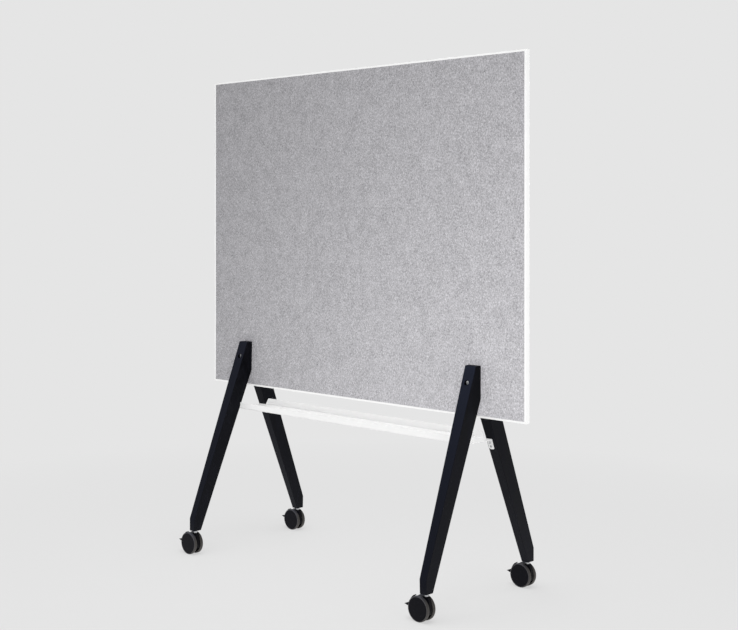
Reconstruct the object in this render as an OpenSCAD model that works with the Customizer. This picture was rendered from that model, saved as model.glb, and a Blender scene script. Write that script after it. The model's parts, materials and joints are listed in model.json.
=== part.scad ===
// Rolling partition: a felt covered pin board held by two pairs of tapered wooden legs,
// with a folded sheet shelf between the legs and a braked twin-wheel castor under each leg.
// Origin on the floor under the middle of the board, X along the board, -Y the front, Z up.

/* [Board] */
// Width of the board over its edge trim
board_w = 1500; // [1300:10:1800]
// Height of the board over its edge trim
board_h = 1165; // [900:5:1300]
// Height of the board's lower edge above the floor
board_z = 600; // [590:1:630]
// Thickness of the core panel
core_t = 15; // [12:0.5:18]
// Thickness of each felt sheet
felt_t = 1.5; // [1:0.1:1.7]
// Width of the trim's lip on the board's face
lip_w = 6.5; // [5:0.5:9]
// How far the trim's lip stands proud of the felt
lip_proud = 0.4; // [0.1:0.1:1]
// Thickness of the trim's outer wall
trim_t = 1.6; // [1:0.1:3]

/* [Legs] */
// Distance of the legs' outer side faces from the middle
leg_out_x = 573; // [540:1:620]
// Height of the legs' tops
leg_top_z = 767.5; // [750:0.5:790]
// Height of the legs' lower ends
leg_foot_z = 88; // [86:0.5:92]
// Width of a leg at its top
leg_top_w = 44.5; // [40:0.5:54]
// Width of a leg at its foot
leg_foot_w = 26.5; // [24:0.5:32]
// Depth of a leg at its top
leg_top_d = 25; // [22:1:30]
// Depth of a leg at its foot
leg_foot_d = 32; // [27:1:36]
// Distance of the foot's outer face from the middle plane of the board
foot_out_y = 276; // [250:0.5:300]
// Height where the leg leaves the board's face
leg_kink_z = 660; // [650:1:680]
// Height of the upright toe above the foot
toe_h = 45; // [30:1:70]
// Bevel on the ends of the legs
leg_bevel = 1.5; // [0.5:0.1:3]

/* [Clamp bolts] */
// Height of the bolts
bolt_z = 714; // [705:1:725]
// Distance of the bolts from the middle
bolt_x = 550; // [546:0.5:554]
// Shank diameter of the bolts
bolt_d = 8; // [6:1:8]
// Diameter of the sunk holes for the bolt heads
sunk_d = 17; // [15:0.5:18]

/* [Shelf] */
// Height of the shelf's underside
shelf_z = 519; // [510:0.5:530]
// Sheet thickness of the shelf
sheet_t = 2; // [1.5:0.1:2.5]
// Depth of the shelf over its upstands
shelf_d = 132; // [124:1:134]
// Height of the front upstand
front_lip_h = 22.5; // [15:0.5:30]
// Height of the rear upstand
rear_lip_h = 26; // [15:0.5:30]
// Length of the upstands
lip_len = 1064; // [1040:1:1066]
// Slant of the rear upstand's ends
lip_slant = 15; // [5:1:25]
// Length of the shelf over its tongues
shelf_len = 1126; // [1122:1:1140]
// Width of the tabs that are screwed to the legs
tab_w = 20; // [18:1:24]
// Length of the tabs along the legs
tab_len = 37; // [34:1:45]

/* [Castors] */
// Diameter of the wheels
wheel_d = 80; // [76:1:80]
// Width of each wheel
wheel_w = 12.9; // [12:0.1:13]
// Gap between the two wheels
wheel_gap = 15.2; // [15:0.1:17]
// Thickness of the tread around the wheels
tread_t = 3.5; // [3:0.1:5]
// How far the axle trails behind the stem
trail = 19; // [17:0.5:20]
// Diameter of the axle
axle_d = 8; // [6:0.5:8]
// Diameter of the stem in the leg
stem_d = 11; // [10:0.5:11]
// Diameter of the stem's pivot in the housing
pivot_d = 8; // [7:0.5:8]
// Thickness of the housing between the wheels
housing_t = 13.2; // [12.8:0.1:13.4]
// Width of the brake lever's pedal
pedal_w = 34; // [24:1:38]
// Height of the pedal where it leaves the hood
pedal_h = 8; // [6:0.5:10]

/* [Hidden] */
$fn = 64;

ink = "#1c1c20";
over = 1;
run_gap = 0.06;

felt_y = core_t / 2 + felt_t;
trim_y = felt_y + lip_proud;
board_mid_z = board_z + board_h / 2;

leg_in_bottom_y = foot_out_y - leg_foot_d;
leg_slope = atan((leg_in_bottom_y - felt_y) / (leg_kink_z - leg_foot_z));
stem_x = leg_out_x - leg_foot_w / 2;
stem_y = foot_out_y - leg_foot_d / 2;
function leg_in_y(z) = felt_y + (leg_kink_z - z) * tan(leg_slope);

shank_r = bolt_d / 2;
bolt_hole_r = shank_r + 0.2;
barrel_r = shank_r + 1.5;
sleeve_r = shank_r + 2;
head_r = 6.5;
head_h = 8;
sunk_y = 40;
key_flats = 6;
key_depth = 4;
socket_r = stem_d / 2 + 1.5;
socket_h = 36;

bend_r = sheet_t + 1;
tab_top_z = shelf_z + sheet_t;
tab_x = stem_x - 10.5;
tab_round = 5;
screw_r = 2;
screw_head_r = 4;
screw_head_h = 2.4;
screw_len = 20;
screw_steps = [13, 27];

wheel_r = wheel_d / 2;
rim_r = wheel_r - tread_t;
inner_y = wheel_gap / 2;
axle_r = axle_d / 2;
axle_end = inner_y + wheel_w - 4;
shoulder_r = 2.4;
housing_r = wheel_r - 2.8;
shell_t = 2.4;
crown_z = wheel_d - 0.5;
pivot_end_z = 45;
lever_pin_r = 2;
lever_pivot = [-24, 18];
hood_r = wheel_r + 2;
hood_t = 2.2;
hood_shift = [-2.5, -0.5];
hood_from = 128;
hood_to = 178;
hood_w = 13;
arm_w = 5.4;

module along_x(len) {
    rotate([90, 0, 90])
        linear_extrude(len)
            children();
}

module along_y(len) {
    translate([0, len / 2, 0])
        rotate([90, 0, 0])
            linear_extrude(len)
                children();
}

module rod_y(r, from, to) {
    translate([0, to, 0])
        rotate([90, 0, 0])
            cylinder(r = r, h = to - from);
}

// ---- Board ----

module slab(w, t, h) {
    translate([-w / 2, -t / 2, board_mid_z - h / 2])
        cube([w, t, h]);
}

module at_bolts() {
    for (side = [-1, 1])
        translate([side * bolt_x, 0, bolt_z])
            children();
}

module board_core() {
    color("#b9a98c")
        difference() {
            slab(board_w - 2 * trim_t, core_t, board_h - 2 * trim_t);
            at_bolts()
                rod_y(sleeve_r, -core_t, core_t);
        }
}

module felt(side) {
    color("#b4b6ba")
        difference() {
            translate([0, side * (core_t + felt_t) / 2, 0])
                slab(board_w - 2 * lip_w, felt_t, board_h - 2 * lip_w);
            at_bolts()
                rod_y(sleeve_r, -core_t, core_t);
        }
}

module front_felt() {
    felt(-1);
}

module back_felt() {
    felt(1);
}

module trim_ring() {
    difference() {
        slab(board_w, 2 * trim_y, board_h);
        slab(board_w - 2 * trim_t, core_t, board_h - 2 * trim_t);
        slab(board_w - 2 * lip_w, 2 * trim_y + over, board_h - 2 * lip_w);
    }
}

// One side of the trim with mitred ends: the ring cut by a wedge that points at the middle.
module trim_side(length, height, turn) {
    reach = height / 2;
    color("#f4f4f3")
        intersection() {
            trim_ring();
            translate([0, 0, board_mid_z])
                rotate([0, turn, 0])
                    along_y(4 * core_t)
                        polygon([
                            [-length / 2 + reach / 2, reach / 2],
                            [-length / 2, reach],
                            [length / 2, reach],
                            [length / 2 - reach / 2, reach / 2]
                        ]);
        }
}

module trim_top() {
    trim_side(board_w, board_h, 0);
}

module trim_bottom() {
    trim_side(board_w, board_h, 180);
}

module trim_right() {
    trim_side(board_h, board_w, 90);
}

module trim_left() {
    trim_side(board_h, board_w, 270);
}

// ---- Legs ----

// Side view of a front leg: flat against the board, then sloping out to an upright toe.
module leg_side() {
    polygon([
        [-felt_y, leg_top_z],
        [-felt_y, leg_kink_z],
        [-leg_in_bottom_y, leg_foot_z],
        [-foot_out_y + leg_bevel, leg_foot_z],
        [-foot_out_y, leg_foot_z + leg_bevel],
        [-foot_out_y, leg_foot_z + toe_h],
        [-felt_y - leg_top_d - leg_bevel * 0.4, leg_top_z - leg_bevel],
        [-felt_y - leg_top_d + leg_bevel, leg_top_z]
    ]);
}

// Front view of a right leg: the outer side is upright, the inner side tapers.
module leg_front() {
    polygon([
        [leg_out_x - leg_top_w + leg_bevel, leg_top_z],
        [leg_out_x - leg_bevel, leg_top_z],
        [leg_out_x, leg_top_z - leg_bevel],
        [leg_out_x, leg_foot_z],
        [leg_out_x - leg_foot_w, leg_foot_z],
        [leg_out_x - leg_top_w, leg_top_z - leg_bevel]
    ]);
}

module on_slope(s) {
    translate([tab_x, -leg_in_y(tab_top_z), tab_top_z])
        rotate([-leg_slope, 0, 0])
            translate([0, 0, -s])
                children();
}

module leg(bore_r) {
    color(ink)
        difference() {
            intersection() {
                along_x(leg_out_x + over)
                    leg_side();
                along_y(3 * foot_out_y)
                    leg_front();
            }
            translate([bolt_x, 0, bolt_z]) {
                rod_y(bore_r, -2 * sunk_y, 0);
                rod_y(sunk_d / 2, -2 * sunk_y, -sunk_y);
            }
            translate([stem_x, -stem_y, leg_foot_z - over])
                cylinder(r = socket_r, h = socket_h + over);
            for (s = screw_steps)
                on_slope(s)
                    rod_y(screw_r, -screw_len + sheet_t, over);
        }
}

module leg_front_right() {
    leg(bolt_hole_r);
}

module leg_front_left() {
    mirror([1, 0, 0])
        leg(bolt_hole_r);
}

module leg_rear_right() {
    mirror([0, 1, 0])
        leg(barrel_r);
}

module leg_rear_left() {
    mirror([1, 0, 0])
        mirror([0, 1, 0])
            leg(barrel_r);
}

// ---- Fasteners of the legs ----

module key_recess(at_y) {
    translate([0, at_y, 0])
        rotate([-90, 0, 0])
            cylinder(d = key_flats / cos(30), h = key_depth, $fn = 6);
}

module clamp_bolts() {
    color("#7d7f82")
        at_bolts()
            difference() {
                union() {
                    rod_y(shank_r, -sunk_y - over, 24);
                    rod_y(head_r, -sunk_y - head_h, -sunk_y);
                }
                key_recess(-sunk_y - head_h);
            }
}

module sleeve_nuts() {
    color("#7d7f82")
        at_bolts()
            difference() {
                union() {
                    rod_y(barrel_r, 14, sunk_y + over);
                    rod_y(head_r, sunk_y, sunk_y + 3.5);
                }
                rod_y(shank_r, 13, 30);
                mirror([0, 1, 0])
                    key_recess(-sunk_y - 3.5);
            }
}

module board_sleeves() {
    color("#7d7f82")
        at_bolts()
            difference() {
                rod_y(sleeve_r, -felt_y, felt_y);
                rod_y(bolt_hole_r, -core_t, core_t);
            }
}

module stem_sockets() {
    color("#8a8c8f")
        for (sx = [-1, 1], sy = [-1, 1])
            translate([sx * stem_x, sy * stem_y, leg_foot_z])
                difference() {
                    cylinder(r = socket_r, h = socket_h);
                    translate([0, 0, -over])
                        cylinder(r = stem_d / 2 + 0.05, h = socket_h - 1);
                }
}

// ---- Shelf ----

module gutter(half_w, floor_z, r) {
    translate([-half_w + r, floor_z])
        square([2 * (half_w - r), 3 * rear_lip_h]);
    translate([-half_w, floor_z + r])
        square([2 * half_w, 3 * rear_lip_h]);
    for (side = [-1, 1])
        translate([side * (half_w - r), floor_z + r])
            circle(r = r);
}

module channel_section() {
    difference() {
        gutter(shelf_d / 2, shelf_z, bend_r);
        gutter(shelf_d / 2 - sheet_t, shelf_z + sheet_t, bend_r - sheet_t);
        translate([-shelf_d, shelf_z + front_lip_h])
            square([shelf_d, 4 * rear_lip_h]);
        translate([-over, shelf_z + rear_lip_h])
            square([shelf_d, 4 * rear_lip_h]);
    }
}

module tongue() {
    half_x = shelf_len / 2;
    half_y = leg_in_y(shelf_z + 2 * sheet_t) - 0.4;
    from_x = lip_len / 2;
    round_r = 4;
    translate([0, 0, shelf_z])
        linear_extrude(sheet_t)
            union() {
                translate([from_x - 2 * tab_w, -shelf_d / 2 + bend_r])
                    square([half_x - from_x + 2 * tab_w, shelf_d - 2 * bend_r]);
                translate([from_x, -half_y])
                    square([half_x - from_x - round_r, 2 * half_y]);
                for (side = [-1, 1])
                    translate([half_x - round_r, side * (half_y - round_r)])
                        circle(r = round_r);
            }
}

// A tab bent down from the tongue onto the sloping inner face of a leg.
module tab() {
    on_slope(0)
        translate([0, sheet_t, 0])
            rotate([90, 0, 0])
                linear_extrude(sheet_t)
                    union() {
                        translate([-tab_w / 2, -tab_len + tab_round])
                            square([tab_w, tab_len - tab_round]);
                        translate([-tab_w / 2 + tab_round, -tab_len])
                            square([tab_w - 2 * tab_round, tab_round + over]);
                        for (side = [-1, 1])
                            translate([side * (tab_w / 2 - tab_round), -tab_len + tab_round])
                                circle(r = tab_round);
                    }
}

module shelf_end() {
    tongue();
    tab();
    mirror([0, 1, 0])
        tab();
}

module at_tab_screws() {
    for (sx = [0, 1], sy = [0, 1], s = screw_steps)
        mirror([sx, 0, 0])
            mirror([0, sy, 0])
                on_slope(s)
                    children();
}

module shelf_tray() {
    color("#f2f2f1")
        difference() {
            union() {
                translate([-lip_len / 2, 0, 0])
                    along_x(lip_len)
                        channel_section();
                shelf_end();
                mirror([1, 0, 0])
                    shelf_end();
            }
            for (side = [0, 1])
                mirror([side, 0, 0])
                    translate([0, shelf_d / 2, 0])
                        along_y(4 * bend_r)
                            polygon([
                                [lip_len / 2 + 0.1, shelf_z + sheet_t],
                                [lip_len / 2 + 0.1, shelf_z + 2 * rear_lip_h],
                                [lip_len / 2 - lip_slant, shelf_z + 2 * rear_lip_h],
                                [lip_len / 2 - lip_slant, shelf_z + rear_lip_h],
                                [lip_len / 2, shelf_z + bend_r]
                            ]);
            at_tab_screws()
                rod_y(screw_r, -over, sheet_t + over);
        }
}

module shelf_screws() {
    color("#c8c9cb")
        at_tab_screws() {
            rod_y(screw_r, -screw_len + sheet_t, sheet_t + over);
            difference() {
                rod_y(screw_head_r, sheet_t, sheet_t + screw_head_h);
                rod_y(1.2, sheet_t + 1.2, sheet_t + 2 * screw_head_h);
            }
        }
}

// ---- Castors, each in its own frame: stem on the Z axis, wheels trailing to -X ----

module at_castor(sx, sy) {
    translate([sx * stem_x, sy * stem_y, 0])
        children();
}

module at_axle() {
    translate([-trail, 0, wheel_r])
        children();
}

module stem() {
    color("#c3c5c8") {
        translate([0, 0, pivot_end_z])
            cylinder(r = pivot_d / 2, h = crown_z - pivot_end_z + over);
        translate([0, 0, crown_z + 0.3])
            cylinder(r = stem_d / 2 + 1, h = leg_foot_z - crown_z - 0.3);
        translate([0, 0, leg_foot_z])
            cylinder(r = stem_d / 2, h = socket_h - 4);
        translate([0, 0, leg_foot_z + socket_h - 4])
            cylinder(r1 = stem_d / 2, r2 = stem_d / 2 - 1.5, h = 1.5);
    }
}

// Crown of the housing in side view: it carries the stem and runs down into the disc.
module crown_outline() {
    polygon([
        [-trail, wheel_r],
        [-trail, wheel_r + housing_r],
        [-9.5, crown_z],
        [8, crown_z],
        [11.5, crown_z - 2.5],
        [15, 68],
        [17, 57],
        [18.1, wheel_r]
    ]);
}

// Room inside the shell of the housing, round the bosses of the axle and the stem.
module housing_hollow() {
    hollow_t = housing_t - 2 * shell_t;
    difference() {
        at_axle()
            rod_y(housing_r - shell_t, -hollow_t / 2, hollow_t / 2);
        at_axle()
            rod_y(axle_r + 4.5, -housing_t, housing_t);
        translate([-pivot_d / 2 - 3, -housing_t, 0])
            cube([2 * pivot_d, 2 * housing_t, wheel_d]);
    }
}

// Slot in the back of the housing that the lever's arm works in.
module lever_slot() {
    at_axle()
        rotate([0, 180 - atan2(lever_pivot[1], lever_pivot[0]), 0])
            translate([-wheel_r - 3, -arm_w / 2 - 0.6, -7.5])
                cube([wheel_r - 17, arm_w + 1.2, 15]);
}

module at_lever_pivot() {
    at_axle()
        translate([lever_pivot[0], 0, lever_pivot[1]])
            children();
}

// The housing: a disc just inside the wheels' edge, open below, with a crown for the stem.
module housing() {
    color(ink)
        difference() {
            union() {
                at_axle()
                    rod_y(housing_r, -housing_t / 2, housing_t / 2);
                along_y(housing_t)
                    crown_outline();
            }
            translate([-trail - wheel_r, -housing_t, 0])
                cube([wheel_d, 2 * housing_t, wheel_r - 15]);
            housing_hollow();
            lever_slot();
            at_axle()
                rod_y(axle_r, -housing_t, housing_t);
            at_lever_pivot()
                rod_y(lever_pin_r, -housing_t, housing_t);
            translate([0, 0, pivot_end_z - 1])
                cylinder(r = pivot_d / 2 + run_gap, h = wheel_d);
        }
}

module axle() {
    color("#b9bbbe")
        at_axle()
            rod_y(axle_r, -axle_end, axle_end);
}

module lever_pin() {
    color("#b9bbbe")
        at_lever_pivot()
            rod_y(lever_pin_r, -housing_t / 2, housing_t / 2);
}

module pie(r, from, to) {
    reach = 2 * r;
    mid = (from + to) / 2;
    polygon([
        [0, 0],
        [reach * cos(from), reach * sin(from)],
        [reach * cos(mid), reach * sin(mid)],
        [reach * cos(to), reach * sin(to)]
    ]);
}

module hood_outline() {
    intersection() {
        translate(hood_shift)
            difference() {
                circle(r = hood_r + hood_t);
                circle(r = hood_r);
            }
        pie(hood_r, hood_from, hood_to);
    }
}

// Pedal: a fin that two round hollows draw out to a thin edge.
module pedal_outline() {
    tip_x = -wheel_r - 15;
    mid_z = 6.4;
    sweep_r = 18;
    difference() {
        translate([tip_x, mid_z - pedal_h / 2])
            square([12, pedal_h]);
        for (side = [-1, 1])
            translate([tip_x, mid_z + side * (sweep_r + 0.7)])
                circle(r = sweep_r);
        translate(hood_shift)
            circle(r = hood_r + 0.5);
    }
}

module brake_lever() {
    span = norm(lever_pivot);
    color(ink)
        difference() {
            union() {
                at_axle()
                    along_y(hood_w)
                        hood_outline();
                at_axle()
                    along_y(pedal_w)
                        pedal_outline();
                at_axle()
                    along_y(arm_w)
                        rotate(atan2(lever_pivot[1], lever_pivot[0]))
                            translate([span, -4])
                                square([hood_r + 3 - span, 8]);
                at_lever_pivot()
                    rod_y(4.6, -arm_w / 2, arm_w / 2);
            }
            at_lever_pivot()
                rod_y(lever_pin_r + run_gap, -housing_t, housing_t);
        }
}

// Half section of a hub: radius across, distance from the wheel's inner side up.
module hub_section() {
    face = wheel_w;
    polygon([
        [0, face - 3.4],
        [axle_r + run_gap, face - 3.4],
        [axle_r + run_gap, 0],
        [axle_r + 4.5, 0],
        [axle_r + 5, face - 5],
        [rim_r - 4, face - 4.4],
        [rim_r - 3.2, 0.8],
        [rim_r, 0.8],
        [rim_r, face - 0.9],
        [rim_r - 1.2, face - 0.5],
        [rim_r - 2, face - 0.3],
        [0, face]
    ]);
}

module hub_upright() {
    rotate_extrude($fn = 96)
        hub_section();
    for (i = [0 : 5])
        rotate([0, 0, 60 * i])
            translate([axle_r + 4, -1, 2])
                cube([rim_r - axle_r - 7.5, 2, wheel_w - 5]);
}

module tyre_section() {
    difference() {
        union() {
            translate([rim_r - over, 0.4])
                square([tread_t + over - shoulder_r, wheel_w - 0.8]);
            translate([rim_r - over, 0.4 + shoulder_r])
                square([tread_t + over, wheel_w - 0.8 - 2 * shoulder_r]);
            for (w = [0.4 + shoulder_r, wheel_w - 0.4 - shoulder_r])
                translate([wheel_r - shoulder_r, w])
                    circle(r = shoulder_r);
        }
        square([rim_r, wheel_w]);
    }
}

// Puts a wheel that is built upright on its side of the castor, open side inwards.
module on_axle(side) {
    at_axle()
        rotate([side < 0 ? 90 : -90, 0, 0])
            translate([0, 0, inner_y])
                children();
}

module hub(side) {
    color(ink)
        on_axle(side)
            hub_upright();
}

module tyre(side) {
    color("#4b4947")
        on_axle(side)
            rotate_extrude($fn = 96)
                tyre_section();
}

module fl_stem() {
    at_castor(-1, -1)
        stem();
}

module fl_housing() {
    at_castor(-1, -1)
        housing();
}

module fl_axle() {
    at_castor(-1, -1)
        axle();
}

module fl_lever_pin() {
    at_castor(-1, -1)
        lever_pin();
}

module fl_brake_lever() {
    at_castor(-1, -1)
        brake_lever();
}

module fl_hub_front() {
    at_castor(-1, -1)
        hub(-1);
}

module fl_tyre_front() {
    at_castor(-1, -1)
        tyre(-1);
}

module fl_hub_rear() {
    at_castor(-1, -1)
        hub(1);
}

module fl_tyre_rear() {
    at_castor(-1, -1)
        tyre(1);
}

module fr_stem() {
    at_castor(1, -1)
        stem();
}

module fr_housing() {
    at_castor(1, -1)
        housing();
}

module fr_axle() {
    at_castor(1, -1)
        axle();
}

module fr_lever_pin() {
    at_castor(1, -1)
        lever_pin();
}

module fr_brake_lever() {
    at_castor(1, -1)
        brake_lever();
}

module fr_hub_front() {
    at_castor(1, -1)
        hub(-1);
}

module fr_tyre_front() {
    at_castor(1, -1)
        tyre(-1);
}

module fr_hub_rear() {
    at_castor(1, -1)
        hub(1);
}

module fr_tyre_rear() {
    at_castor(1, -1)
        tyre(1);
}

module rl_stem() {
    at_castor(-1, 1)
        stem();
}

module rl_housing() {
    at_castor(-1, 1)
        housing();
}

module rl_axle() {
    at_castor(-1, 1)
        axle();
}

module rl_lever_pin() {
    at_castor(-1, 1)
        lever_pin();
}

module rl_brake_lever() {
    at_castor(-1, 1)
        brake_lever();
}

module rl_hub_front() {
    at_castor(-1, 1)
        hub(-1);
}

module rl_tyre_front() {
    at_castor(-1, 1)
        tyre(-1);
}

module rl_hub_rear() {
    at_castor(-1, 1)
        hub(1);
}

module rl_tyre_rear() {
    at_castor(-1, 1)
        tyre(1);
}

module rr_stem() {
    at_castor(1, 1)
        stem();
}

module rr_housing() {
    at_castor(1, 1)
        housing();
}

module rr_axle() {
    at_castor(1, 1)
        axle();
}

module rr_lever_pin() {
    at_castor(1, 1)
        lever_pin();
}

module rr_brake_lever() {
    at_castor(1, 1)
        brake_lever();
}

module rr_hub_front() {
    at_castor(1, 1)
        hub(-1);
}

module rr_tyre_front() {
    at_castor(1, 1)
        tyre(-1);
}

module rr_hub_rear() {
    at_castor(1, 1)
        hub(1);
}

module rr_tyre_rear() {
    at_castor(1, 1)
        tyre(1);
}

board_core();
front_felt();
back_felt();
trim_top();
trim_bottom();
trim_left();
trim_right();
leg_front_left();
leg_front_right();
leg_rear_left();
leg_rear_right();
clamp_bolts();
sleeve_nuts();
board_sleeves();
shelf_tray();
shelf_screws();
stem_sockets();
fl_stem();
fl_housing();
fl_axle();
fl_lever_pin();
fl_brake_lever();
fl_hub_front();
fl_tyre_front();
fl_hub_rear();
fl_tyre_rear();
fr_stem();
fr_housing();
fr_axle();
fr_lever_pin();
fr_brake_lever();
fr_hub_front();
fr_tyre_front();
fr_hub_rear();
fr_tyre_rear();
rl_stem();
rl_housing();
rl_axle();
rl_lever_pin();
rl_brake_lever();
rl_hub_front();
rl_tyre_front();
rl_hub_rear();
rl_tyre_rear();
rr_stem();
rr_housing();
rr_axle();
rr_lever_pin();
rr_brake_lever();
rr_hub_front();
rr_tyre_front();
rr_hub_rear();
rr_tyre_rear();
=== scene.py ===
"""Rolling partition: felt board, black wooden legs, white sheet shelf, twin-wheel castors."""
import json
import math
import random

import bmesh
import bpy
from mathutils import Matrix, Vector

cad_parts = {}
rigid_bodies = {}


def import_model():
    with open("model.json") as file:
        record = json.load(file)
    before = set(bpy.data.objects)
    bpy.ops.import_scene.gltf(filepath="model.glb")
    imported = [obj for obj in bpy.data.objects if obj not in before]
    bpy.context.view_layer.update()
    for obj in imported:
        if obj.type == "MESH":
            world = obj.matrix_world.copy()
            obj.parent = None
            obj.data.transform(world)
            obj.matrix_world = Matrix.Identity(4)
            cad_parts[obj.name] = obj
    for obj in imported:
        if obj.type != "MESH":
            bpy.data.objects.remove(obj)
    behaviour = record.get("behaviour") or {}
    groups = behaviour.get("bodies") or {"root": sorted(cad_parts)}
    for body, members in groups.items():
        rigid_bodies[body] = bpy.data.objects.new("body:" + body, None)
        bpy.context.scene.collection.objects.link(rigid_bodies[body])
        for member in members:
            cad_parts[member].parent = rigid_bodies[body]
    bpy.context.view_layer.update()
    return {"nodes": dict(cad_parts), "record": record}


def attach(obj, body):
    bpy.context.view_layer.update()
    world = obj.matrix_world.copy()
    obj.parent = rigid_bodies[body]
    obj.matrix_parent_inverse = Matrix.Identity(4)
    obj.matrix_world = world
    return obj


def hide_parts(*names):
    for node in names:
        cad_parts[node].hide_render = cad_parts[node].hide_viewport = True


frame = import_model()
nodes = frame["nodes"]
scene = bpy.context.scene

# ---------------------------------------------------------------- sizes, in metres
BOARD_W, BOARD_H, BOARD_Z = 1.500, 1.165, 0.600
CORE_Y, FELT_Y, TRIM_Y = 0.0075, 0.0090, 0.0094
LIP = 0.0065
LEG_OUT, LEG_TOP, LEG_FOOT = 0.573, 0.7675, 0.088
LEG_TOP_W, LEG_FOOT_W, LEG_TOP_D, LEG_FOOT_D = 0.0445, 0.0265, 0.025, 0.032
FOOT_OUT, KINK_Z, TOE_H = 0.276, 0.660, 0.045
BOLT_X, BOLT_Z, SUNK_Y, SUNK_R = 0.550, 0.714, 0.040, 0.0085
STEM_X, STEM_Y = LEG_OUT - LEG_FOOT_W / 2, FOOT_OUT - LEG_FOOT_D / 2
TRAIL, WHEEL_R = 0.019, 0.040
CASTORS = {"fl": (-1, -1), "fr": (1, -1), "rl": (-1, 1), "rr": (1, 1)}


# ---------------------------------------------------------------- node trees
class Tree:
    """A short way to write a material's nodes."""

    def __init__(self, name):
        self.material = bpy.data.materials.new(name)
        self.material.use_nodes = True
        self.nt = self.material.node_tree
        self.bsdf = self.nt.nodes["Principled BSDF"]
        self.out = self.nt.nodes["Material Output"]

    def node(self, kind, values=None, **props):
        n = self.nt.nodes.new(kind)
        for k, v in props.items():
            setattr(n, k, v)
        for k, v in (values or {}).items():
            if isinstance(v, bpy.types.NodeSocket):
                self.nt.links.new(v, n.inputs[k])
            else:
                n.inputs[k].default_value = v
        return n

    def coords(self, scale=(1, 1, 1), rotation=(0, 0, 0), location=(0, 0, 0)):
        tc = self.node("ShaderNodeTexCoord")
        m = self.node("ShaderNodeMapping", {"Vector": tc.outputs["Object"], "Scale": scale,
                                            "Rotation": rotation, "Location": location})
        return m.outputs["Vector"]

    def noise(self, vector, scale, detail=2.0, rough=0.5):
        n = self.node("ShaderNodeTexNoise", {"Vector": vector, "Scale": scale, "Detail": detail,
                                             "Roughness": rough})
        return n.outputs["Fac"]

    def ramp(self, fac, stops):
        r = self.node("ShaderNodeValToRGB", {"Fac": fac})
        els = r.color_ramp.elements
        while len(els) < len(stops):
            els.new(0.5)
        for e, (place, colour) in zip(els, stops):
            e.position = place
            e.color = (*colour, 1)
        return r.outputs["Color"]

    def remap(self, value, from_min, from_max, to_min, to_max):
        m = self.node("ShaderNodeMapRange", {"Value": value, "From Min": from_min,
                                             "From Max": from_max, "To Min": to_min,
                                             "To Max": to_max})
        return m.outputs["Result"]

    def math(self, op, a, b=0.0):
        return self.node("ShaderNodeMath", {0: a, 1: b}, operation=op).outputs[0]

    def mix(self, fac, a, b):
        """Mixes two colours. In the Mix node their sockets are 6 and 7, and the result's is 2."""
        sockets = {0: fac}
        for i, v in ((6, a), (7, b)):
            sockets[i] = v if isinstance(v, bpy.types.NodeSocket) else (*v, 1)
        return self.node("ShaderNodeMix", sockets, data_type="RGBA").outputs[2]

    def bump(self, height, strength, distance):
        b = self.node("ShaderNodeBump", {"Height": height, "Strength": strength,
                                         "Distance": distance})
        return b.outputs["Normal"]

    def set(self, **sockets):
        for k, v in sockets.items():
            s = self.bsdf.inputs[k.replace("_", " ")]
            if isinstance(v, bpy.types.NodeSocket):
                self.nt.links.new(v, s)
            else:
                s.default_value = (*v, 1) if isinstance(v, tuple) and len(v) == 3 else v
        return self.material


def felt_material(name, shade):
    """Heather wool felt: light and dark fibres, mostly upright, with soft clouds of tone."""
    t = Tree(name)
    fibre = t.noise(t.coords((1300, 500, 520)), 1.0, 2, 0.6)
    across = t.noise(t.coords((300, 300, 900), location=(2.3, 4.1, 0.4)), 1.0, 2, 0.6)
    tuft = t.noise(t.coords((290, 250, 170)), 1.0, 3, 0.62)
    cloud = t.noise(t.coords((30, 30, 22)), 1.0, 2, 0.5)
    tone = t.math("MULTIPLY", fibre, 0.30)
    for part, share in ((across, 0.25), (tuft, 0.38), (cloud, 0.07)):
        tone = t.math("ADD", tone, t.math("MULTIPLY", part, share))
    lo, mid, hi = ([c * k for c in shade] for k in (0.42, 1.0, 1.56))
    colour = t.ramp(tone, [(0.38, lo), (0.50, mid), (0.62, hi)])
    fleck = t.noise(t.coords((420, 300, 150), location=(3.1, 0.7, 1.9)), 1.0, 2, 0.5)
    colour = t.mix(t.remap(fleck, 0.62, 0.70, 0.0, 0.65), colour, [c * 0.35 for c in shade])
    height = t.math("ADD", fibre, t.math("MULTIPLY", tuft, 0.6))
    return t.set(Base_Color=colour, Roughness=0.95, Specular_IOR_Level=0.12, Sheen_Weight=0.05,
                 Sheen_Roughness=0.5, Normal=t.bump(height, 0.22, 0.0008))


def painted(name, colour, rough, peel):
    """Sprayed satin coat with a fine orange peel and slight changes of gloss."""
    t = Tree(name)
    grain = t.noise(t.coords(), 1400.0, 2, 0.5)
    wide = t.noise(t.coords(), 14.0, 3, 0.5)
    base = t.mix(t.remap(wide, 0.35, 0.65, 0.0, 1.0), [c * 0.985 for c in colour], colour)
    return t.set(Base_Color=base, Roughness=t.remap(wide, 0.3, 0.7, rough - 0.05, rough + 0.05),
                 Normal=t.bump(grain, peel, 0.00015), Coat_Weight=0.15, Coat_Roughness=0.2)


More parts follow.
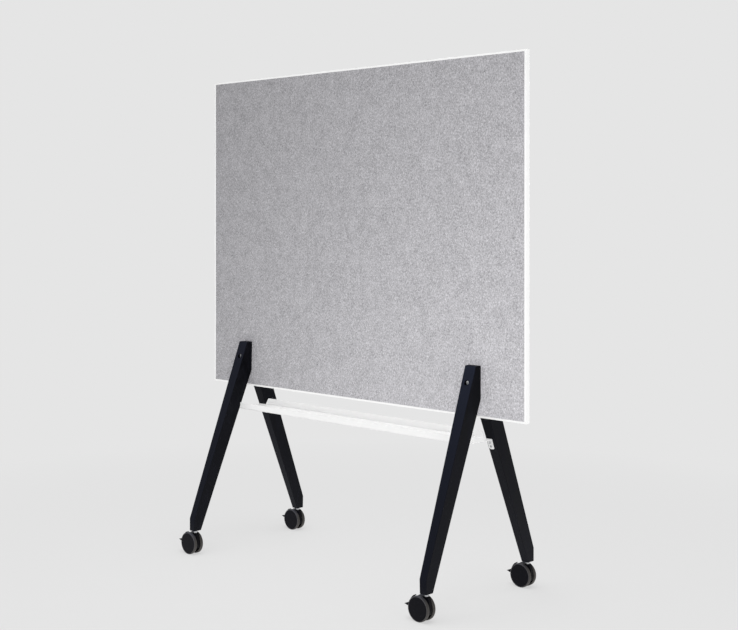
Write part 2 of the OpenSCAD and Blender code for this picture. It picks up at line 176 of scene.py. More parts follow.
def wood_material(name):
    """Black stained open-pored wood: long grain lines and pores that catch the light."""
    t = Tree(name)
    warp = t.noise(t.coords((14, 14, 1.6)), 1.0, 2, 0.5)
    tc = t.node("ShaderNodeTexCoord")
    shift = t.node("ShaderNodeCombineXYZ", {"X": t.math("MULTIPLY", warp, 0.02)})
    warped = t.node("ShaderNodeVectorMath", {0: tc.outputs["Object"], 1: shift.outputs[0]},
                    operation="ADD")
    rings = t.node("ShaderNodeTexWave", {"Vector": warped.outputs[0], "Scale": 60.0,
                                         "Distortion": 3.0, "Detail": 2.0,
                                         "Detail Scale": 0.6}, bands_direction="X")
    pore = t.noise(t.coords((900, 900, 45)), 1.0, 3, 0.6)
    wide = t.noise(t.coords((9, 9, 3)), 1.0, 2, 0.5)
    grain = t.math("MULTIPLY", rings.outputs["Fac"], t.remap(pore, 0.35, 0.65, 0.2, 1.0))
    dark, mid, light = (0.0022, 0.0022, 0.0034), (0.0045, 0.0045, 0.0068), (0.010, 0.010, 0.0145)
    colour = t.ramp(grain, [(0.0, dark), (0.55, mid), (1.0, light)])
    colour = t.mix(t.remap(wide, 0.35, 0.7, 0.0, 0.5), colour, dark)
    height = t.math("ADD", t.math("MULTIPLY", rings.outputs["Fac"], 0.15), pore)
    return t.set(Base_Color=colour, Roughness=t.remap(grain, 0.0, 1.0, 0.45, 0.65),
                 Specular_IOR_Level=0.08, Specular_Tint=(0.78, 0.84, 1.0),
                 Normal=t.bump(height, 0.25, 0.0004))


def moulded(name, colour, rough, grain_scale=2600.0, grain=0.25, gloss=0.5):
    """Moulded plastic or rubber: a fine spark texture and faint scuffing."""
    t = Tree(name)
    spark = t.noise(t.coords(), grain_scale, 2, 0.5)
    scuff = t.noise(t.coords(), 90.0, 4, 0.6)
    base = t.mix(t.remap(scuff, 0.45, 0.75, 0.0, 0.6), colour, [c * 1.35 + 0.001 for c in colour])
    return t.set(Base_Color=base, Roughness=t.remap(scuff, 0.3, 0.7, rough - 0.06, rough + 0.08),
                 Specular_IOR_Level=gloss, Normal=t.bump(spark, grain, 0.0002))


def steel(name, colour, rough):
    """Zinc plated steel with turning marks and blotches."""
    t = Tree(name)
    turn = t.noise(t.coords(), 900.0, 3, 0.6)
    spots = t.noise(t.coords(), 160.0, 2, 0.5)
    base = t.mix(t.remap(spots, 0.4, 0.65, 0.0, 1.0), [c * 0.8 for c in colour], colour)
    return t.set(Base_Color=base, Metallic=1.0, Normal=t.bump(turn, 0.1, 0.0002),
                 Roughness=t.remap(turn, 0.3, 0.7, rough - 0.08, rough + 0.08))


def fibreboard(name):
    """Raw chipboard, for the core that the felts and the trim cover."""
    t = Tree(name)
    chips = t.noise(t.coords(), 300.0, 4, 0.6)
    base = t.ramp(chips, [(0.3, (0.34, 0.27, 0.18)), (0.5, (0.52, 0.43, 0.31)),
                          (0.7, (0.66, 0.57, 0.43))])
    return t.set(Base_Color=base, Roughness=0.85, Normal=t.bump(chips, 0.3, 0.0005))


FELT = felt_material("grey_felt", (0.485, 0.478, 0.500))
TRIM = painted("white_trim", (0.90, 0.90, 0.895), 0.32, 0.04)
SHEET = painted("white_powder_coat", (0.79, 0.79, 0.787), 0.42, 0.12)
WOOD = wood_material("black_stained_wood")
PLASTIC = moulded("castor_plastic", (0.0034, 0.0033, 0.0046), 0.42, gloss=0.05)
TREAD = moulded("castor_tread", (0.055, 0.051, 0.048), 0.62, 1800.0, 0.3, gloss=0.2)
ZINC = steel("zinc_plate", (0.62, 0.63, 0.64), 0.38)
BOLT = steel("bolt_steel", (0.78, 0.79, 0.80), 0.34)
CORE = fibreboard("core_panel")
SLOT_LOOKS = {"core_panel": CORE, "grey_felt": FELT, "white_trim": TRIM, "white_sheet": SHEET,
              "black_wood": WOOD, "fastener_steel": BOLT, "castor_steel": ZINC,
              "castor_plastic": PLASTIC, "castor_tread": TREAD}
for sub in frame["record"]["subparts"]:
    mesh = nodes[sub["node"]].data
    mesh.materials.clear()
    mesh.materials.append(SLOT_LOOKS[sub["material_slot"]])


# ---------------------------------------------------------------- mesh helpers
CUTTER_STEPS, SMALL_STEPS, WHEEL_STEPS = 48, 32, 96


def piece(name, bm, material, body, stands_for=(), bevel=0.0, segments=3, smooth=40):
    """Links a mesh as a piece of the object on its body, with round edges where a bevel is given,
    and hides the nodes that it stands for.
    """
    bmesh.ops.recalc_face_normals(bm, faces=bm.faces)
    mesh = bpy.data.meshes.new(name)
    bm.to_mesh(mesh)
    bm.free()
    obj = bpy.data.objects.new(name, mesh)
    scene.collection.objects.link(obj)
    mesh.materials.append(material)
    if bevel:
        m = obj.modifiers.new("round", "BEVEL")
        m.width, m.segments, m.limit_method = bevel, segments, "ANGLE"
        m.angle_limit, m.harden_normals = math.radians(25), True
    mesh.shade_smooth()
    mesh.set_sharp_from_angle(angle=math.radians(smooth))
    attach(obj, body)
    if stands_for:
        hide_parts(*stands_for)
    return obj


def bake_modifiers(obj):
    """Turns the evaluated shape into the object's own mesh."""
    deps = bpy.context.evaluated_depsgraph_get()
    mesh = bpy.data.meshes.new_from_object(obj.evaluated_get(deps))
    old = obj.data
    obj.modifiers.clear()
    obj.data = mesh
    mesh.name = old.name
    bpy.data.meshes.remove(old)


def cut(obj, *cutters):
    """Takes closed meshes out of a piece."""
    made = []
    for i, bm in enumerate(cutters):
        bmesh.ops.recalc_face_normals(bm, faces=bm.faces)
        mesh = bpy.data.meshes.new("cutter")
        bm.to_mesh(mesh)
        bm.free()
        tool = bpy.data.objects.new("cutter", mesh)
        scene.collection.objects.link(tool)
        m = obj.modifiers.new("cut%d" % i, "BOOLEAN")
        m.operation, m.solver, m.object = "DIFFERENCE", "EXACT", tool
        made.append(tool)
    bpy.context.view_layer.update()
    bake_modifiers(obj)
    for tool in made:
        mesh = tool.data
        bpy.data.objects.remove(tool)
        bpy.data.meshes.remove(mesh)
    obj.data.shade_smooth()
    obj.data.set_sharp_from_angle(angle=math.radians(30))
    even = obj.modifiers.new("even", "WEIGHTED_NORMAL")
    even.keep_sharp = True


def prism(bm, outline, place, depth):
    """Extrudes a closed 2D outline. place maps (a, b, c) to the row frame, c runs 0 to depth."""
    low = [bm.verts.new(place(a, b, 0.0)) for a, b in outline]
    high = [bm.verts.new(place(a, b, depth)) for a, b in outline]
    n = len(outline)
    for i in range(n):
        j = (i + 1) % n
        bm.faces.new((low[i], low[j], high[j], high[i]))
    bm.faces.new(low[::-1])
    bm.faces.new(high)


def lathe(bm, profile, place, steps=64):
    """Turns a profile of (radius, distance along the axis) into a closed solid."""
    rings = []
    for r, w in profile:
        if r < 1e-7:
            rings.append([bm.verts.new(place(0.0, 0.0, w))])
            continue
        rings.append([bm.verts.new(place(r * math.cos(2 * math.pi * i / steps),
                                         r * math.sin(2 * math.pi * i / steps), w))
                      for i in range(steps)])
    for a, b in zip(rings, rings[1:]):
        for i in range(steps):
            j = (i + 1) % steps
            if len(a) == 1 and len(b) == 1:
                continue
            if len(a) == 1:
                bm.faces.new((a[0], b[j], b[i]))
            elif len(b) == 1:
                bm.faces.new((a[i], a[j], b[0]))
            else:
                bm.faces.new((a[i], a[j], b[j], b[i]))


def rod(r, start, end, place, steps):
    """A plain cylinder between two distances along its axis, to cut a bore with."""
    bm = bmesh.new()
    lathe(bm, [(0, start), (r, start), (r, end), (0, end)], place, steps)
    return bm


def turn_2d(angle, points):
    """Turns 2D points about the origin."""
    c, d = math.cos(angle), math.sin(angle)
    return [(c * a - d * b, d * a + c * b) for a, b in points]


# ---------------------------------------------------------------- board
TUCK_DEPTH, TUCK_REACH = 0.00035, 0.006
N_WAVES, WAVE_H, CALM_EDGE = 6, 0.00012, 0.05
TRIM_WALL, TRIM_BEVEL = 0.0016, 0.0005


def felt_piece(name, side, node):
    """A felt sheet with faint waviness, its edges tucked in behind the trim's lips."""
    w, h, nx, nz = BOARD_W - 2 * LIP, BOARD_H - 2 * LIP, 96, 74
    zc = BOARD_Z + BOARD_H / 2
    rnd = random.Random(7 + side)
    waves = [(rnd.uniform(4, 14), rnd.uniform(4, 14), rnd.uniform(0, 6.3))
             for _ in range(N_WAVES)]
    bm = bmesh.new()
    grids = []
    for depth, curved in ((FELT_Y, True), (CORE_Y, False)):
        grid = []
        for k in range(nz + 1):
            row = []
            for i in range(nx + 1):
                x, z = (i / nx - 0.5) * w, (k / nz - 0.5) * h
                edge = min(w / 2 - abs(x), h / 2 - abs(z))
                dip = wave = 0.0
                if curved:
                    dip = TUCK_DEPTH * math.exp(-edge / TUCK_REACH)
                    wave = sum(math.sin(a * x + b * z + c) for a, b, c in waves) / N_WAVES * WAVE_H
                wave *= min(1.0, edge / CALM_EDGE)
                row.append(bm.verts.new((x, side * (depth - dip - abs(wave)), zc + z)))
            grid.append(row)
        grids.append(grid)
    for grid in grids:
        for k in range(nz):
            for i in range(nx):
                bm.faces.new((grid[k][i], grid[k][i + 1], grid[k + 1][i + 1], grid[k + 1][i]))
    outer, inner = ([g[0][i] for i in range(nx)] + [g[k][nx] for k in range(nz)]
                    + [g[nz][i] for i in range(nx, 0, -1)] + [g[k][0] for k in range(nz, 0, -1)]
                    for g in grids)
    for i in range(len(outer)):
        j = (i + 1) % len(outer)
        bm.faces.new((outer[i], outer[j], inner[j], inner[i]))
    obj = piece(name, bm, FELT, "stand", (node,), smooth=60)


def trim_piece(name, length, reach, turn, node):
    """One side of the edge trim: a U profile with rounded edges and mitred ends."""
    zc = BOARD_Z + BOARD_H / 2
    lip, wall = reach - LIP, reach - TRIM_WALL
    outline = [(-TRIM_Y, reach), (TRIM_Y, reach), (TRIM_Y, lip), (CORE_Y, lip),
               (CORE_Y, wall), (-CORE_Y, wall), (-CORE_Y, lip), (-TRIM_Y, lip)]
    bm = bmesh.new()
    rings = []
    for end in (-1, 1):
        rings.append([bm.verts.new((end * (length / 2 - (reach - b)), a, b)) for a, b in outline])
    n = len(outline)
    for i in range(n):
        j = (i + 1) % n
        bm.faces.new((rings[0][i], rings[0][j], rings[1][j], rings[1][i]))
    bm.faces.new(rings[0][::-1])
    bm.faces.new(rings[1])
    bmesh.ops.transform(bm, verts=bm.verts,
                        matrix=Matrix.Translation((0, 0, zc)) @ Matrix.Rotation(turn, 4, "Y"))
    piece(name, bm, TRIM, "stand", (node,), bevel=TRIM_BEVEL)


felt_piece("felt_front", -1, "front_felt")
felt_piece("felt_back", 1, "back_felt")
trim_piece("trim_top_side", BOARD_W, BOARD_H / 2, 0, "trim_top")
trim_piece("trim_bottom_side", BOARD_W, BOARD_H / 2, math.pi, "trim_bottom")
trim_piece("trim_right_side", BOARD_H, BOARD_W / 2, math.pi / 2, "trim_right")
trim_piece("trim_left_side", BOARD_H, BOARD_W / 2, -math.pi / 2, "trim_left")

# ---------------------------------------------------------------- legs
LEG_BLANK, LEG_BEVEL, PAST, SUNK_END = 0.050, 0.0010, 0.010, 0.090
BOLT_BORE, NUT_BORE, STEM_BORE, STEM_DEPTH = 0.0042, 0.0055, 0.007, 0.036
in_bottom = FOOT_OUT - LEG_FOOT_D
slope = math.atan((in_bottom - FELT_Y) / (KINK_Z - LEG_FOOT))


def in_y(z):
    return FELT_Y + (KINK_Z - z) * math.tan(slope)


def leg_piece(name, sx, sy, bore):
    """A tapered leg: side outline extruded along X, cut by the slanted inner side."""
    side = [(FELT_Y, LEG_TOP), (FELT_Y, KINK_Z), (in_bottom, LEG_FOOT), (FOOT_OUT, LEG_FOOT),
            (FOOT_OUT, LEG_FOOT + TOE_H), (FELT_Y + LEG_TOP_D, LEG_TOP)]
    bm = bmesh.new()
    prism(bm, side, lambda a, b, c: (sx * (LEG_OUT - c), sy * a, b), LEG_BLANK)
    rise = LEG_TOP - LEG_FOOT
    normal = Vector((-sx * rise, 0, -(LEG_TOP_W - LEG_FOOT_W))).normalized()
    on = Vector((sx * (LEG_OUT - LEG_TOP_W), 0, LEG_TOP))
    got = bmesh.ops.bisect_plane(bm, geom=bm.verts[:] + bm.edges[:] + bm.faces[:],
                                 plane_co=on, plane_no=normal, clear_outer=True)
    edges = [e for e in got["geom_cut"] if isinstance(e, bmesh.types.BMEdge)]
    bmesh.ops.contextual_create(bm, geom=edges)
    obj = piece(name, bm, WOOD, "stand", (name,), bevel=LEG_BEVEL)
    at_bolt = lambda p, q, w: (sx * BOLT_X + p, sy * w, BOLT_Z + q)
    at_stem = lambda p, q, w: (sx * STEM_X + p, sy * STEM_Y + q, LEG_FOOT + w)
    cut(obj, rod(SUNK_R, SUNK_Y, SUNK_END, at_bolt, CUTTER_STEPS),
        rod(bore, -PAST, SUNK_Y + PAST, at_bolt, CUTTER_STEPS),
        rod(STEM_BORE, -PAST, STEM_DEPTH, at_stem, SMALL_STEPS))


for sx, sy in CASTORS.values():
    label = ("front" if sy < 0 else "rear") + ("_left" if sx < 0 else "_right")
    leg_piece("leg_" + label, sx, sy, BOLT_BORE if sy < 0 else NUT_BORE)


# ---------------------------------------------------------------- fasteners of the legs
HEX_FLATS, KEY_DEPTH, KEY_PAST, HEAD_R, BOLT_R = 0.006, 0.004, 0.002, 0.0065, 0.004
BOLT_HEAD_END, BOLT_TIP = -0.048, 0.024
NUT_START, NUT_END, THREAD_END = 0.014, 0.0435, 0.030


def turned(name, profile, place, material, node, steps=CUTTER_STEPS, hexagon=None):
    """A turned part, closed at both ends, with a hexagon recess sunk from one end if asked."""
    bm = bmesh.new()
    lathe(bm, profile, place, steps)
    obj = piece(name, bm, material, "stand", (node,))
    if hexagon is not None:
        end, inwards = hexagon
        start, stop = sorted((end - inwards * KEY_PAST, end + inwards * KEY_DEPTH))
        cut(obj, rod(HEX_FLATS / math.sqrt(3), start, stop, place, 6))
    return obj


for sx, tag in ((-1, "left"), (1, "right")):
    at = lambda p, q, w, sx=sx: (sx * BOLT_X + p, w, BOLT_Z + q)
    shank = [(0, BOLT_HEAD_END), (HEAD_R - 0.0008, BOLT_HEAD_END), (HEAD_R, -0.0472),
             (HEAD_R, -0.0404), (HEAD_R - 0.0004, -SUNK_Y), (BOLT_R, -SUNK_Y),
             (BOLT_R, BOLT_TIP - 0.0005), (BOLT_R - 0.0005, BOLT_TIP), (0, BOLT_TIP)]
    turned("clamp_bolt_" + tag, shank, at, BOLT, "clamp_bolts",
           hexagon=(BOLT_HEAD_END, 1))
    nut = [(0, THREAD_END + 0.0005), (BOLT_R, THREAD_END), (BOLT_R, NUT_START + 0.0005),
           (BOLT_R + 0.0005, NUT_START), (NUT_BORE, NUT_START), (NUT_BORE, SUNK_Y),
           (HEAD_R - 0.0003, SUNK_Y), (HEAD_R, SUNK_Y + 0.0003), (HEAD_R, 0.0429),
           (HEAD_R - 0.0007, NUT_END), (0, NUT_END)]
    turned("sleeve_nut_" + tag, nut, at, BOLT, "sleeve_nuts",
           hexagon=(NUT_END, -1))

# ---------------------------------------------------------------- shelf
SHELF_Z, SHEET_T, TAB_X = 0.519, 0.002, STEM_X - 0.0105
TAB_TOP = SHELF_Z + SHEET_T
SCREW_STEPS, SCREW_LEN, SCREW_R, PAN_R, PAN_H = (0.013, 0.027), 0.020, 0.002, 0.004, 0.0024
SLOT_REACH, SLOT_HALF, SLOT_FLOOR, SLOT_TURN = 0.0019, 0.00035, 0.0012, 0.4


def on_slope(sx, sy, s):
    """Maps a screw's own frame onto a leg's slope: w points away from the leg."""
    turn = Matrix.Translation((0, -in_y(TAB_TOP), TAB_TOP)) @ Matrix.Rotation(-slope, 4, "X")

    def place(p, q, w):
        v = turn @ Vector((p, w, q - s))
        return (sx * TAB_X + v.x, -sy * v.y, v.z)
    return place


def soften(obj, width):
    """Rounds the sharp edges of a CAD node with modifiers on top of its own mesh."""
    weld = obj.modifiers.new("weld", "WELD")
    weld.merge_threshold = 0.00001
    flat = obj.modifiers.new("flat", "DECIMATE")
    flat.decimate_type, flat.angle_limit, flat.delimit = "DISSOLVE", math.radians(1.5), {"NORMAL"}
    rounder = obj.modifiers.new("round", "BEVEL")
    rounder.width, rounder.segments, rounder.limit_method = width, 2, "ANGLE"
    rounder.angle_limit, rounder.harden_normals = math.radians(25), True


def shelf_screw(tag, place):
    """A pan head screw through one of the shelf's tabs, with a cross slot in its head."""
    tip = SHEET_T - SCREW_LEN
    pan = [(0, tip), (SCREW_R, tip), (SCREW_R, SHEET_T), (PAN_R, SHEET_T),
           (PAN_R, SHEET_T + 0.0010), (0.0037, SHEET_T + 0.0018), (0.0029, SHEET_T + 0.0023),
           (0.0016, SHEET_T + PAN_H), (0, SHEET_T + PAN_H)]
    screw = turned("shelf_screw_" + tag, pan, place, ZINC, "shelf_screws",
                   SMALL_STEPS)
    slots = []
    for quarter in (0.0, math.pi / 2):
        corners = [(-SLOT_REACH, -SLOT_HALF), (SLOT_REACH, -SLOT_HALF),
                   (SLOT_REACH, SLOT_HALF), (-SLOT_REACH, SLOT_HALF)]
        tool = bmesh.new()
        prism(tool, turn_2d(quarter + SLOT_TURN, corners),
              lambda a, b, w: place(a, b, SHEET_T + SLOT_FLOOR + w), 0.003)
        slots.append(tool)
    cut(screw, *slots)


soften(nodes["shelf_tray"], 0.0003)
for sx, x_tag in ((-1, "left"), (1, "right")):
    for sy, y_tag in ((-1, "front"), (1, "rear")):
        for k, s in enumerate(SCREW_STEPS):
            shelf_screw("%s_%s_%d" % (x_tag, y_tag, k + 1), on_slope(sx, sy, s))

# ---------------------------------------------------------------- castors
AXLE_Z, AXLE_R, GAP, WHEEL_W = 0.040, 0.004, 0.0076, 0.0129
RIM_R, HOUSING_R, HOUSING_T, CROWN_Z = 0.0365, 0.0372, 0.0132, 0.0795
OPEN_Z, WALL, BOSS_R, HOUSING_BEVEL = 0.025, 0.0024, 0.0085, 0.0008
STEM_LOW, STEM_HIGH, PLAY = 0.044, 0.090, 0.00006
RIBS, RIB_START, RIB_END, RIB_HALF = 6, 0.008, 0.033, 0.001
TREAD_SIDE, TREAD_ROUND = 0.0004, 0.0024
PIVOT, PIN_R, BOSS_HALF = (-0.024, 0.018), 0.002, 0.0027
ARM_SLOT, ARM_HALF, LEVER_BEVEL = 0.0033, 0.004, 0.0005
HOOD_C, HOOD_R, HOOD_T, HOOD_W = (-0.0025, -0.0005), 0.042, 0.0022, 0.013
PEDAL_W, PEDAL_H, PEDAL_Z, PEDAL_OUT, PEDAL_EDGE = 0.034, 0.008, 0.0064, 0.015, 0.0007
SWEEP_R, SWEEP_TOP, SWEEP_LOW, SWEEP_N = 0.018, 0.0114, 0.0101, 16


def arc(centre, r, a0, a1, n):
    """Points of an arc from angle a0 to a1, in degrees."""
    return [(centre[0] + r * math.cos(math.radians(a0 + (a1 - a0) * i / n)),
             centre[1] + r * math.sin(math.radians(a0 + (a1 - a0) * i / n)))
            for i in range(n + 1)]


def hood_arc(r, a0, a1, n):
    """Points of the hood's circle, by their angle seen from the axle."""
    points = []
    for i in range(n + 1):
        t = math.radians(a0 + (a1 - a0) * i / n)
        u = (math.cos(t), math.sin(t))
        k = HOOD_C[0] * u[0] + HOOD_C[1] * u[1]
        rho = k + math.sqrt(k * k - HOOD_C[0] ** 2 - HOOD_C[1] ** 2 + r * r)
        points.append((rho * u[0], rho * u[1]))
    return points


def box_ring(a0, a1, half):
    """Corners of a rectangle that lies along the first axis."""
    return [(a0, -half), (a1, -half), (a1, half), (a0, half)]


def wheel_pieces(key, tag, at):
    """One wheel of a castor: at maps (across, up, outwards from the inner side) to the frame."""
    wheel = key + "_wheel_" + tag
    bore = AXLE_R + PLAY
    face = [(RIM_R * 0.945 * (1 - i / 8), WHEEL_W - 0.0003 * (1 - i / 8) ** 2) for i in range(9)]
    hub = [(0, 0.0095), (bore, 0.0095), (bore, 0.0003), (bore + 0.0003, 0), (0.0082, 0),
           (0.0085, 0.0003), (0.0090, 0.0079), (0.0322, 0.0085), (0.0325, 0.0082),
           (0.0333, 0.0011), (0.0336, 0.0008), (0.0362, 0.0008), (RIM_R, 0.0011),
           (RIM_R, 0.0118), (0.0363, 0.0121), (0.0354, 0.0123), (0.0351, 0.0121),
           (0.0348, 0.0122)] + face
    bm = bmesh.new()
    lathe(bm, hub, at, WHEEL_STEPS)
    for i in range(RIBS):
        ring = turn_2d(math.radians(360 / RIBS * i), box_ring(RIB_START, RIB_END, RIB_HALF))
        prism(bm, ring, lambda a, b, w: at(a, b, 0.002 + w), 0.0075)
    piece(wheel + "_hub", bm, PLASTIC, wheel, (key + "_hub_" + tag,))
    r, edge = WHEEL_R - TREAD_ROUND, TREAD_SIDE + TREAD_ROUND
    tread = ([(RIM_R, TREAD_SIDE)]
             + [(r + a, edge + b) for a, b in arc((0, 0), TREAD_ROUND, -90, 0, 8)]
             + [(r + a, WHEEL_W - edge + b) for a, b in arc((0, 0), TREAD_ROUND, 0, 90, 8)]
             + [(RIM_R, WHEEL_W - TREAD_SIDE), (RIM_R, TREAD_SIDE)])
    bm = bmesh.new()
    lathe(bm, tread, at, WHEEL_STEPS)
    bmesh.ops.remove_doubles(bm, verts=bm.verts, dist=1e-6)
    piece(wheel + "_tyre", bm, TREAD, wheel, (key + "_tyre_" + tag,))


def castor(key, sx, sy):
    """A castor's wheels, housing and brake lever. Outlines are in the axle's own X and Z."""
    ox, oy = sx * STEM_X, sy * STEM_Y
    ax, az = ox - TRAIL, AXLE_Z
    across = lambda half: (lambda a, b, c: (ax + a, oy - half + c, az + b))
    for tag, side in (("front", -1), ("rear", 1)):
        wheel_pieces(key, tag,
                     lambda p, q, w, side=side: (ax + p, oy + side * (GAP + w), az + q))

    # housing: disc and crown in one outline, hollow and open below
    low = math.degrees(math.asin((OPEN_Z - AXLE_Z) / HOUSING_R))
    crown = [(-0.0095, CROWN_Z), (0.008, CROWN_Z), (0.0115, 0.077), (0.015, 0.068),
             (0.017, 0.057), (0.0181, 0.040)]
    outline = (arc((0, 0), HOUSING_R, 0, low, 6)[1:] + arc((0, 0), HOUSING_R, 180 - low, 90, 36)
               + [(a + TRAIL, b - AXLE_Z) for a, b in crown])
    bm = bmesh.new()
    prism(bm, outline[::-1], across(HOUSING_T / 2), HOUSING_T)
    housing = piece(key + "_housing_shell", bm, PLASTIC, key + "_castor",
                    (key + "_housing",), bevel=HOUSING_BEVEL)
    hollow_r, inside = HOUSING_R - WALL, HOUSING_T / 2 - WALL
    towards_pin = math.atan2(PIVOT[1], PIVOT[0])
    hollows = (
        ([(-0.020, -0.030), (0.010, -0.030), (0.010, -0.0075)]
         + arc((0, 0), BOSS_R, -62, -180, 10) + arc((0, 0), hollow_r, 180, 237, 10), inside),
        (arc((0, 0), hollow_r, 100, 180, 16) + arc((0, 0), BOSS_R, 180, 100, 8), inside),
        (turn_2d(towards_pin, box_ring(0.020, 0.043, 0.0075)), ARM_SLOT))
    tools = []
    for ring, half in hollows:
        tool = bmesh.new()
        prism(tool, ring, across(half), 2 * half)
        tools.append(tool)
    for centre, r in (((0, 0), AXLE_R), (PIVOT, PIN_R)):
        tools.append(rod(r, -0.02, 0.02, lambda p, q, w, o=centre: (
            ax + o[0] + p, oy + w, az + o[1] + q), SMALL_STEPS))
    tools.append(rod(AXLE_R + PLAY, STEM_LOW, STEM_HIGH,
                     lambda p, q, w: (ox + p, oy + q, w), SMALL_STEPS))
    cut(housing, *tools)

    # brake lever: narrow hood behind the housing, swept pedal, arm and boss
    lever, stands_for = key + "_lever", (key + "_brake_lever",)
    outline = hood_arc(HOOD_R + HOOD_T, 128, 178, 28) + hood_arc(HOOD_R, 178, 128, 28)
    bm = bmesh.new()
    prism(bm, outline, across(HOOD_W / 2), HOOD_W)
    piece(lever + "_hood", bm, PLASTIC, lever, stands_for, bevel=LEVER_BEVEL)
    tip = -WHEEL_R - PEDAL_OUT
    fin = lambda d: min(PEDAL_H / 2, SWEEP_R + PEDAL_EDGE - math.sqrt(SWEEP_R ** 2 - d * d))
    upper = [SWEEP_TOP * (1 - i / SWEEP_N) for i in range(SWEEP_N + 1)]
    lower = [SWEEP_LOW * i / SWEEP_N for i in range(SWEEP_N + 1)]
    outline = ([(tip + d, PEDAL_Z + fin(d)) for d in upper]
               + [(tip + d, PEDAL_Z - fin(d)) for d in lower]
               + arc(HOOD_C, HOOD_R + 0.0005, 176.1, 165.1, 5))
    bm = bmesh.new()
    prism(bm, outline, across(PEDAL_W / 2), PEDAL_W)
    piece(lever + "_pedal", bm, PLASTIC, lever, stands_for, bevel=LEVER_BEVEL)
    bm = bmesh.new()
    arm = box_ring(math.hypot(*PIVOT), HOOD_R + 0.001, ARM_HALF)
    prism(bm, turn_2d(towards_pin, arm), across(BOSS_HALF), 2 * BOSS_HALF)
    bore, outer = PIN_R + PLAY, 0.0046
    lathe(bm, [(bore, -BOSS_HALF), (outer, -BOSS_HALF), (outer, BOSS_HALF), (bore, BOSS_HALF),
               (bore, -BOSS_HALF)],
          lambda p, q, w: (ax + PIVOT[0] + p, oy + w, az + PIVOT[1] + q), SMALL_STEPS)
    piece(lever + "_arm", bm, PLASTIC, lever, bevel=0.0004, segments=2)


for key, (sx, sy) in CASTORS.items():
    castor(key, sx, sy)

# ---------------------------------------------------------------- camera
F_PX, CX, CY = 1283.638, 334.805, 214.860
AZ, ROLL, PITCH = math.radians(44.8045), math.radians(0.0155), math.radians(0.0245)
CAM_X, CAM_Y, CAM_Z = 3.134921, -3.251958, 1.251456
IMG_W, IMG_H = 738, 630
back = Vector((math.sin(AZ) * math.cos(PITCH), -math.cos(AZ) * math.cos(PITCH), math.sin(PITCH)))
r0 = Vector((math.cos(AZ), math.sin(AZ), 0))
u0 = back.cross(r0)
right = math.cos(ROLL) * r0 + math.sin(ROLL) * u0
up = -math.sin(ROLL) * r0 + math.cos(ROLL) * u0
cam_data = bpy.data.cameras.new("camera")
cam = bpy.data.objects.new("camera", cam_data)
scene.collection.objects.link(cam)
cam_data.sensor_width = 36.0
cam_data.lens = F_PX / IMG_W * 36.0
cam_data.shift_x = (IMG_W / 2 - CX) / IMG_W
cam_data.shift_y = (CY - IMG_H / 2) / IMG_W
cam_data.clip_end = 200
cam.matrix_world = Matrix((
    (right.x, up.x, back.x, CAM_X),
    (right.y, up.y, back.y, CAM_Y),
    (right.z, up.z, back.z, CAM_Z),
    (0, 0, 0, 1)))
scene.camera = cam

# ---------------------------------------------------------------- floor, world and lamps
BACKDROP, FLOOR_TONE, FLOOR_R, WORLD_LIGHT = 0.7835, 0.80, 60, 0.40
SHADOW_NEAR, SHADOW_FAR, SHADOW_SHARE = 0.8, 2.6, 0.30


def seen_rays(nt):
    """1 for the rays that see the backdrop itself: camera, glossy and transmission rays."""
    path = nt.nodes.new("ShaderNodeLightPath")
    total = path.outputs["Is Camera Ray"]
    for ray in ("Is Glossy Ray", "Is Transmission Ray"):
        either = nt.nodes.new("ShaderNodeMath")
        either.operation = "MAXIMUM"
        nt.links.new(total, either.inputs[0])
        nt.links.new(path.outputs[ray], either.inputs[1])
        total = either.outputs[0]
    return total


def floor():
    """A pale floor that shows the backdrop's tone, with a share of the shadow near the object."""
    bm = bmesh.new()
    bmesh.ops.create_circle(bm, cap_ends=True, cap_tris=True, segments=96, radius=FLOOR_R)
    mesh = bpy.data.meshes.new("floor")
    bm.to_mesh(mesh)
    bm.free()
    obj = bpy.data.objects.new("floor", mesh)
    scene.collection.objects.link(obj)
    t = Tree("floor")
    tc = t.node("ShaderNodeTexCoord")
    dist = t.node("ShaderNodeVectorMath", {0: tc.outputs["Object"]}, operation="LENGTH")
    fade = t.remap(dist.outputs["Value"], SHADOW_NEAR, SHADOW_FAR, SHADOW_SHARE, 0.0)
    lit = t.node("ShaderNodeBsdfDiffuse", {"Color": (FLOOR_TONE,) * 3 + (1,)}).outputs[0]
    flat = t.node("ShaderNodeEmission", {"Color": (BACKDROP,) * 3 + (1,)}).outputs[0]
    seen = t.node("ShaderNodeMixShader", {"Fac": fade, 1: flat, 2: lit}).outputs[0]
    both = t.node("ShaderNodeMixShader", {"Fac": seen_rays(t.nt), 1: lit, 2: seen}).outputs[0]
    t.nt.links.new(both, t.out.inputs["Surface"])
    mesh.materials.append(t.material)


def world():
    """Soft white light all round, which camera and mirror rays see in the backdrop's tone."""
    w = bpy.data.worlds.new("studio")
    scene.world = w
    w.use_nodes = True
    nt = w.node_tree
    nt.nodes.clear()
    out = nt.nodes.new("ShaderNodeOutputWorld")
    mix = nt.nodes.new("ShaderNodeMixShader")
    seen = nt.nodes.new("ShaderNodeBackground")
    seen.inputs["Color"].default_value = (BACKDROP,) * 3 + (1,)
    light = nt.nodes.new("ShaderNodeBackground")
    light.inputs["Color"].default_value = (1, 1, 1, 1)
    light.inputs["Strength"].default_value = WORLD_LIGHT
    nt.links.new(seen_rays(nt), mix.inputs["Fac"])
    nt.links.new(light.outputs[0], mix.inputs[1])
    nt.links.new(seen.outputs[0], mix.inputs[2])
    nt.links.new(mix.outputs[0], out.inputs["Surface"])


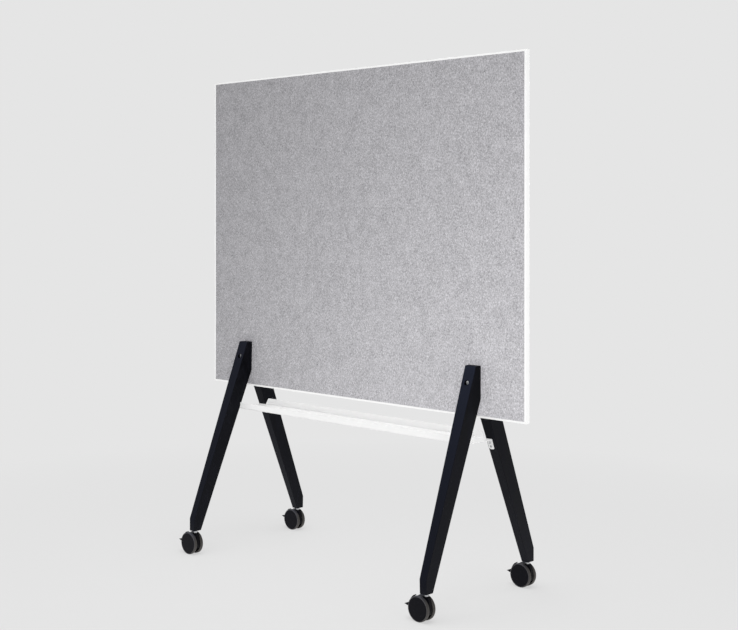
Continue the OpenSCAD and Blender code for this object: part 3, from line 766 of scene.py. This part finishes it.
def pieces_of(name, looks):
    """A collection of the meshes that wear one of these looks."""
    group = bpy.data.collections.new(name)
    for o in scene.objects:
        if o.type == "MESH" and any(m and m.name in looks for m in o.data.materials):
            group.objects.link(o)
    return group


def lamp(name, spot, aim, size, power, only=None, shades=None, tint=(1, 1, 1)):
    """An area lamp. only names the looks that it lights, and shades those that cast its shadows."""
    data = bpy.data.lights.new(name, "AREA")
    data.shape, data.size, data.energy, data.color = "SQUARE", size, power, tint
    obj = bpy.data.objects.new(name, data)
    scene.collection.objects.link(obj)
    obj.location = spot
    obj.rotation_mode = "QUATERNION"
    obj.rotation_quaternion = (Vector(aim) - Vector(spot)).to_track_quat("-Z", "Y")
    obj.visible_camera = False
    if only:
        obj.light_linking.receiver_collection = pieces_of(name + "_lights", only)
    if shades:
        obj.light_linking.blocker_collection = pieces_of(name + "_shades", shades)


floor()
world()
WHITES = (TRIM.name, SHEET.name)
BLACKS = (WOOD.name, PLASTIC.name, TREAD.name)
SKY = (0.55, 0.66, 1.0)
FELTS, SHEETS, FLOOR = (FELT.name,), (SHEET.name,), ("floor",)
lamp("key", (0.95, -2.72, 0.22), (2.0, 0, 0.0), 0.8, 58, only=FELTS, shades=FELTS)
lamp("side", (5.0, -1.0, 2.4), (0, 0, 1.0), 3.0, 20)
lamp("floor_top", (0.3, -0.8, 4.5), (0.1, -0.2, 0), 3.0, 130, only=FLOOR, shades=BLACKS)
lamp("white_front", (0.2, -4.6, 1.0), (0, 0, 0.9), 2.5, 114, only=WHITES, shades=WHITES)
lamp("white_side", (4.5, -0.8, 1.2), (0.5, 0, 1.0), 2.0, 82, only=WHITES, shades=WHITES)
lamp("tray_top", (0.3, -0.3, 4.5), (0.1, 0, 0.5), 2.5, 110, only=SHEETS, shades=SHEETS)
lamp("sheen", (-1.5, -2.2, 3.2), (0.3, 0, 0.7), 1.0, 136, only=BLACKS, tint=SKY)
lamp("glow", (0.1, -0.1, 0.004), (0.1, -0.1, 1.0), 2.4, 9, only=BLACKS)
lamp("back_fill", (-1.5, 4.2, 2.6), (0, 0, 1.0), 3.0, 130, only=(FELT.name, TRIM.name))
scene.view_settings.view_transform = "Standard"
